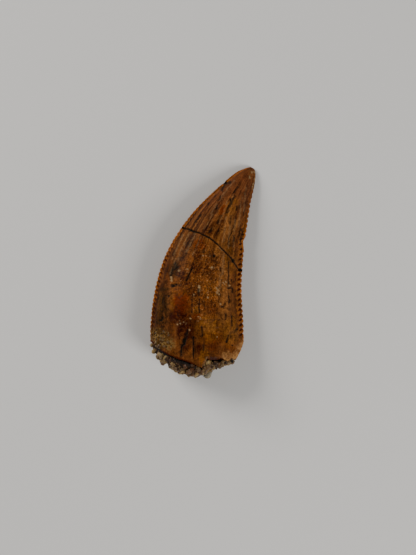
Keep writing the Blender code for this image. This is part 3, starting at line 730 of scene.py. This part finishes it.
enamel, make, shader = surface("aged enamel", 0.038)
_, flow_y, _, along = make.attribute("flow")
crack, dark, cream_and_glints, _ = make.attribute("marks")
orange, red, olive, _ = make.attribute("tints")
rubbed, rosy, gap, _ = make.attribute("wear")
pale_rim, sandy, glassy, _ = make.attribute("rest")
saw_band, broken, rim_shadow, _ = make.attribute("where")
tan, mottled_red, front_band, _ = make.attribute("more")
edge_line, golden, _, _ = make.attribute("edges")
solid = make.node("ShaderNodeTexCoord", {}, output=3).stretched(1000, 1000, 1000)

wide_streak = along.stretched(0.9, 0.06).noise(1.0, 3.0, 0.6, 0.4)
streak = along.stretched(1.9, 0.11).noise(1.0, 3.0, 0.6, 0.3)
hair = along.stretched(4.2, 0.26).noise(1.0, 3.0, 0.65, 0.2)
blotch = solid.noise(0.55, 5.0, 0.6, 0.4)
mottle = solid.noise(1.7, 5.0, 0.68, 0.7)
grain = solid.noise(6.5, 3.0, 0.65)
fine = solid.noise(14.0, 2.0, 0.6)
crumb = solid.cells(5.5)
speck = solid.noise(4.6, 2.0, 0.6)
patchy = solid.noise(2.7, 5.0, 0.7, 0.9)
scratchy = along.stretched(5.2, 1.3).noise(1.0, 3.0, 0.65, 0.3)
cloudy = solid.stretched(1.4, 0.8).noise(1.0, 6.0, 0.68, 1.2)
pits = solid.cells(1.9)

# Streaks of the whole surface, fainter towards the base, and the stains over them.
colour = blotch.above(0.35, 0.65).blend(seen(58, 27, 7), seen(98, 53, 21))
fibre = 0.22 + 0.78 * flow_y.above(7.0, 13.0)
colour = (wide_streak.above(0.42, 0.60) * 0.8).blend(colour, seen(106, 61, 30))
colour = (streak.above(0.50, 0.64) * 0.85 * fibre).blend(colour, seen(122, 78, 38))
colour = ((1 - streak.above(0.34, 0.46)) * 0.68 * fibre).blend(colour, seen(46, 20, 5))
colour = (hair.above(0.54, 0.70) * 0.6 * fibre).blend(colour, seen(136, 92, 48))
colour = ((1 - hair.above(0.30, 0.44)) * 0.65 * fibre).blend(colour, seen(38, 16, 4))
colour = (rosy * (0.40 + 0.5 * streak)).blend(colour, seen(104, 58, 34))
colour = (orange * (0.4 + 0.7 * mottle.above(0.35, 0.6))).blend(colour, seen(98, 37, 3))
colour = (olive * (0.45 + 0.55 * patchy.above(0.42, 0.56))).blend(colour, seen(42, 24, 2))
colour = (red * (0.4 + 0.7 * patchy.above(0.38, 0.56))).blend(colour, seen(48, 12, 2))
colour = (golden * (0.3 + 0.6 * patchy.above(0.40, 0.60))).blend(colour, seen(132, 82, 30))
colour = (tan * (0.35 + 0.6 * mottle.above(0.35, 0.6))).blend(colour, seen(133, 86, 44))

# The raw middle, the cutting edges and the saw teeth.
colour = (rubbed * crumb.above(0.22, 0.5) * 0.55).blend(colour, seen(128, 74, 32))
colour = (rubbed * (1 - crumb.above(0.05, 0.25)) * 0.6).blend(colour, seen(46, 17, 4))
colour = (rubbed * speck.above(0.60, 0.68) * 0.85).blend(colour, seen(158, 112, 70))
colour = (rubbed * (1 - speck.above(0.32, 0.40)) * 0.85).blend(colour, seen(52, 15, 3))
colour = (mottled_red * patchy.above(0.46, 0.54) * 0.8).blend(colour, seen(50, 14, 3))
colour = (front_band * (0.55 + 0.45 * grain.above(0.35, 0.6))).blend(colour, seen(142, 82, 36))
colour = (glassy * (1 - mottle.above(0.35, 0.55)) * 0.5).blend(colour, seen(78, 34, 4))
colour = (saw_band * (1 - gap.above(0.2, 0.6)) * 0.9).blend(colour, seen(134, 78, 34))
colour = (edge_line * (0.35 + 0.5 * grain.above(0.35, 0.6))).blend(colour, seen(156, 94, 46))
colour = (gap.above(0.20, 0.65) * 0.88).blend(colour, seen(58, 18, 7))

# Lighter and darker all over, then the worn rim, the crust, flecks and painted glints, spots and cracks
# on top.
tone = 1 + fibre * (1.8 * (streak - 0.5) + 2.6 * (hair - 0.5))
tone = tone + (2.1 + 1.6 * rubbed) * (grain - 0.5) + 2.1 * (mottle - 0.5) + 0.8 * (fine - 0.5)
tone = tone + (0.9 + 1.8 * rubbed + 1.3 * olive - 0.5 * glassy) * (scratchy - 0.5)
tone = tone + (1 - fibre) * 2.6 * (cloudy - 0.5)
colour = colour.scaled(tone.maths("MAXIMUM", tone, 0.35))
colour = (pale_rim * (0.35 + 0.65 * mottle.above(0.38, 0.58))).blend(colour, seen(172, 124, 74))
colour = (pale_rim * (1 - mottle.above(0.34, 0.44)) * 0.5).blend(colour, seen(104, 56, 22))
colour = (sandy * (0.75 + 0.25 * patchy.above(0.42, 0.58))).blend(colour, seen(92, 64, 28))
colour = (sandy * mottle.above(0.48, 0.58) * 0.85).blend(colour, seen(136, 108, 64))
colour = (sandy * (1 - pits.above(0.20, 0.36)) * 0.95).blend(colour, seen(20, 12, 5))
colour = (sandy * (1 - mottle.above(0.38, 0.46)) * 0.7).blend(colour, seen(44, 28, 12))
colour = (cream_and_glints * (0.4 + 0.7 * grain.above(0.35, 0.6))).blend(colour, seen(158, 130, 92))
colour = (dark * (0.55 + 0.5 * grain.above(0.25, 0.55))).blend(colour, seen(18, 15, 9))
# Painted shade in the recesses under the broken rim.
colour = (rim_shadow * 0.9).blend(colour, seen(62, 17, 4))
colour = (crack * 0.95).blend(colour, seen(17, 19, 14))
colour = broken.blend(colour, mottle.above(0.35, 0.65).blend(seen(50, 20, 6), seen(96, 50, 20)))
make.tree.links.new(colour.socket, shader.inputs["Base Color"])

rough = 0.42 + 0.15 * rubbed + 0.16 * (mottle - 0.5) + 0.35 * sandy + 0.25 * crack
rough = rough + 0.2 * broken - 0.06 * glassy
rough = rough.node("ShaderNodeClamp", {0: rough, 1: 0.24, 2: 0.9})
make.tree.links.new(rough.socket, shader.inputs["Roughness"])
height = 0.6 * streak + 0.35 * hair + (0.25 + 1.1 * rubbed + 0.8 * sandy + broken) * grain
height = height + 0.4 * rubbed * crumb
bump = make.node("ShaderNodeBump", {"Height": height, "Distance": 0.00004, "Strength": 0.8})
make.tree.links.new(bump.socket, shader.inputs["Normal"])
crown.data.materials.clear()
crown.data.materials.append(enamel)
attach(crown, "root")
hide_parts("tooth_crown")


# The sandstone: river sand that filled the hollow crown and set hard in it with brown iron cement.
# Its clear, milky and rusty quartz grains stand out below the broken rim, and a thin crust of the
# same grains still clings to the enamel beside it.
EDGE_GRAINS = [
    ((-5.88, -8.45), 0.24), ((-5.62, -9.14), 0.30), ((-5.15, -9.83), 0.28), ((-4.60, -10.36), 0.36),
    ((-3.76, -10.80), 0.35), ((-3.12, -11.10), 0.28), ((-2.66, -11.50), 0.34), ((-1.74, -11.50), 0.30),
    ((-0.90, -11.68), 0.36), ((-0.17, -11.57), 0.30), ((0.50, -11.78), 0.50), ((1.35, -10.70), 0.38),
    ((1.95, -10.60), 0.26), ((2.63, -10.53), 0.28), ((3.36, -10.00), 0.22),
]
GRAIN_SHAPES = 8
LARGE_GRAINS = 440
SMALL_GRAINS = 1150
CRUST_GRAINS = 60
CORE_SINK = 0.10
GRAIN_SINK = 0.06
BARE_BELOW = -8.3
RIM_OVERLAP = 0.55
RIM_CLEAR = 0.10
RIM_CLEAR_ABOVE = 2.6
HOLLOW = (-2.0, -10.35)
HOLLOW_REACH = (0.75, 0.42)
HOLLOW_BOTTOM = 2.8


def grain_shape(cuts, roundness, unevenness, seed):
    """The corners and faces of one grain, about 1 from its middle to its faces."""
    bpy.ops.object.select_all(action="DESELECT")
    bpy.ops.mesh.primitive_cube_add(size=1.2)
    made = bpy.context.object
    bpy.ops.object.mode_set(mode="EDIT")
    bpy.ops.mesh.select_all(action="SELECT")
    bpy.ops.mesh.subdivide(number_cuts=cuts)
    bpy.ops.transform.tosphere(value=roundness)
    bpy.ops.transform.vertex_random(offset=unevenness, seed=seed)
    bpy.ops.object.mode_set(mode="OBJECT")
    corners = np.array([vert.co for vert in made.data.vertices])
    faces = [tuple(face.vertices) for face in made.data.polygons]
    bpy.data.objects.remove(made)
    return corners / np.linalg.norm(corners, axis=1).mean(), faces


small_shapes = [grain_shape(1, 0.75, 0.12, k + 1) for k in range(GRAIN_SHAPES)]
large_shapes = [grain_shape(2, 0.62, 0.10, k + 40) for k in range(GRAIN_SHAPES)]
worn_shapes = [grain_shape(3, 0.80, 0.07, k + 20) for k in range(GRAIN_SHAPES)]

cad_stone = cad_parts["sandstone_matrix"]
stone = bpy.data.objects.new("visual_sandstone", cad_stone.data.copy())
bpy.context.collection.objects.link(stone)
bpy.ops.object.select_all(action="DESELECT")
bpy.context.view_layer.objects.active = stone
stone.select_set(True)
bpy.ops.object.mode_set(mode="EDIT")
bpy.ops.mesh.select_all(action="SELECT")
bpy.ops.mesh.remove_doubles(threshold=1e-6)
bpy.ops.mesh.normals_make_consistent(inside=False)
bpy.ops.object.mode_set(mode="OBJECT")

core_mesh = stone.data
core_places = np.array([vert.co for vert in core_mesh.vertices]) * 1000
core_normals = np.array([vert.normal for vert in core_mesh.vertices])
core_faces = [tuple(face.vertices) for face in core_mesh.polygons]
face_centres = np.array([face.center for face in core_mesh.polygons]) * 1000
face_normals = np.array([face.normal for face in core_mesh.polygons])
face_areas = np.array([face.area for face in core_mesh.polygons])
bare = face_centres[:, 1] < BARE_BELOW
bare &= face_centres[:, 1] < level(UPPER_RIM, face_centres[:, 0]) + RIM_OVERLAP

rng = random.Random(5)
points = [core_places - core_normals * CORE_SINK]
faces = list(core_faces)
tones = [np.zeros((len(core_places), 3))]


def add_grain(centre, size, tone, shapes=small_shapes):
    """Adds one turned and stretched sand grain. tone is its paleness, redness and clearness; redness
    also carries painted shade.
    """
    count = sum(len(block) for block in points)
    corners, shape_faces = shapes[rng.randrange(GRAIN_SHAPES)]
    axis = np.linalg.qr(np.array([[rng.gauss(0, 1) for _ in range(3)] for _ in range(3)]))[0]
    stretch = np.array([rng.uniform(0.75, 1.15), rng.uniform(0.8, 1.1), rng.uniform(0.8, 1.05)])
    placed = (corners * stretch * size) @ axis + centre
    placed[:, 2] += max(0.0, 0.02 - placed[:, 2].min())
    points.append(placed)
    faces.extend(tuple(n + count for n in face) for face in shape_faces)
    tones.append(np.tile(tone, (len(corners), 1)))


# Along the lower outline the grains stand where the solid stone has its own beads.
edge_centres = []
for (grain_x, grain_y), size in EDGE_GRAINS:
    outward = np.array([grain_x + 0.5, grain_y + 7.5]) / np.hypot(grain_x + 0.5, grain_y + 7.5)
    away = core_places[:, :2] - (grain_x, grain_y)
    bead = (np.hypot(*away.T) < 1.1 * size) & (away @ outward > 0.1 * size)
    heights = core_places[bead, 2] if bead.any() else np.array([2.6])
    edge_centres.append(np.array([grain_x, grain_y, (heights.min() + heights.max()) / 2]))

# The core is painted dark, as shade, in the recess under the rim, and has the edge grains' colours
# where they stand.
by_rim = np.abs(core_places[:, 1] + 0.12 - level(UPPER_RIM, core_places[:, 0])) < 0.3
tones[0][by_rim] = (0.0, 1.0, 0.0)
for centre, (_, size) in zip(edge_centres, EDGE_GRAINS):
    milky = size > 0.45
    tone = (1.0 if milky else rng.uniform(0.5, 0.85), 0.0, milky * 1.0)
    tones[0][np.linalg.norm(core_places - centre, axis=1) < 1.2 * size] = tone
    add_grain(centre, 1.12 * size, tone, worn_shapes)

# The rest are scattered over the bare stone, large ones first. They keep clear of the edge grains,
# of the rim at the left and of the hollow beside it, and stand no higher than the rim.
edge_sizes = np.array([size for _, size in EDGE_GRAINS])
bare_numbers = np.flatnonzero(bare)
weights = face_areas[bare_numbers]
chosen = rng.choices(list(bare_numbers), weights=list(weights), k=LARGE_GRAINS + SMALL_GRAINS)
for order, number in enumerate(chosen):
    large = order < LARGE_GRAINS
    size = rng.uniform(0.20, 0.41) if large else rng.uniform(0.07, 0.17)
    inward = face_normals[number] * (GRAIN_SINK + size * rng.uniform(0.20, 0.60))
    sunk = face_centres[number] - inward
    sunk = sunk + 0.22 * size * np.array([rng.uniform(-1, 1) for _ in range(3)])
    from_edge_grains = np.linalg.norm(sunk - edge_centres, axis=1) - edge_sizes
    if from_edge_grains.min() < 0.3 * size:
        continue
    sunk[2] = min(sunk[2], np.interp(sunk[0], rim[above, 0], rim[above, 2]) - 0.8 * size)
    rim_here = level(UPPER_RIM, sunk[0])
    by_left_rim = sunk[0] < -1.5 and abs(sunk[1] - rim_here) < RIM_CLEAR + 0.9 * size
    in_hollow = np.hypot(*((sunk[:2] - HOLLOW) / HOLLOW_REACH)) < 1
    if (by_left_rim and sunk[2] > RIM_CLEAR_ABOVE) or (in_hollow and sunk[2] > HOLLOW_BOTTOM):
        continue
    paleness = rng.random() ** (0.8 if large else 2.0)
    tone = np.array([paleness, rng.choice((0, 0, 0, 0.3, 0.6, 1.0)), rng.random()])
    # Grains in the recess under the rim are darker and redder: painted shade and a red stain.
    in_recess = -4.2 < sunk[0] < -0.6 and sunk[1] > rim_here - 0.75
    if in_recess:
        tone = tone * (0.3, 0.6, 1.0) + (0.0, 0.4, 0.0)
    add_grain(sunk, size, tone, large_shapes if large else small_shapes)

# The crust sits on the enamel above the rim at the lower left.
crusted = top & (dust > 0.35)
crown_top = shape[crusted]
for _ in range(CRUST_GRAINS):
    crust_x, crust_y = rng.gauss(-4.9, 0.85), rng.gauss(-8.0, 0.55)
    if crust_x < -5.9 or crust_y < level(UPPER_RIM, crust_x) + 0.05:
        continue
    away = np.hypot(crown_top[:, 0] - crust_x, crown_top[:, 1] - crust_y)
    if away.min() > 0.1:
        continue
    nearest = crown_top[np.argmin(away)]
    size = 0.09 + 0.13 * rng.random() ** 2
    tone = (rng.uniform(0.05, 0.75), rng.uniform(0.1, 0.7), rng.random())
    add_grain(nearest - (0, 0, 0.45 * size), size, tone)

bpy.ops.object.select_all(action="DESELECT")
core_mesh.clear_geometry()
core_mesh.from_pydata((np.vstack(points) * 0.001).tolist(), [], faces)
core_mesh.update()
tone = core_mesh.attributes.new("tone", "FLOAT_VECTOR", "POINT")
tone.data.foreach_set("vector", np.vstack(tones).ravel())
core_mesh.shade_smooth()
bpy.context.view_layer.objects.active = stone
stone.select_set(True)
bpy.ops.object.shade_smooth_by_angle(angle=0.75)

sandstone, make, shader = surface("cemented sand", 0.3)
paleness, rust_and_shade, clear, _ = make.attribute("tone")
solid = make.node("ShaderNodeTexCoord", {}, output=3).stretched(1000, 1000, 1000)
veil = solid.noise(1.3, 5.0, 0.6, 0.5)
fine = solid.noise(9.0, 4.0, 0.6)
is_grain = paleness.above(0.0, 0.01)
colour = paleness.above(-0.05, 1.0).blend(seen(40, 21, 6), seen(158, 131, 84))
colour = (rust_and_shade * 0.8).blend(colour, seen(84, 46, 24))
colour = (veil.above(0.40, 0.64) * 0.6).blend(colour, seen(72, 43, 14))
colour = (fine.above(0.5, 0.7) * 0.2).blend(colour, seen(158, 134, 90))
colour = (paleness.above(0.9, 1.0) * clear.above(0.9, 1.0)).blend(colour, seen(136, 126, 104))
cement = fine.above(0.35, 0.65).blend(seen(22, 12, 5), seen(60, 36, 13))
# The cement darkens with rust, and with the painted shade along the rim.
cement = rust_and_shade.blend(cement, seen(20, 11, 5))
colour = is_grain.blend(cement, colour)
make.tree.links.new(colour.socket, shader.inputs["Base Color"])
rough = 0.85 - is_grain * (0.25 + 0.25 * clear) + 0.15 * (fine - 0.5)
make.tree.links.new(rough.socket, shader.inputs["Roughness"])
shader.inputs["Subsurface Weight"].default_value = 0.25
shader.inputs["Subsurface Radius"].default_value = (1.0, 0.8, 0.5)
shader.inputs["Subsurface Scale"].default_value = 0.0003
bump = make.node("ShaderNodeBump", {"Height": fine + 0.5 * veil, "Distance": 0.00006, "Strength": 0.9})
make.tree.links.new(bump.socket, shader.inputs["Normal"])
core_mesh.materials.clear()
core_mesh.materials.append(sandstone)
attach(stone, "root")
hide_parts("sandstone_matrix")
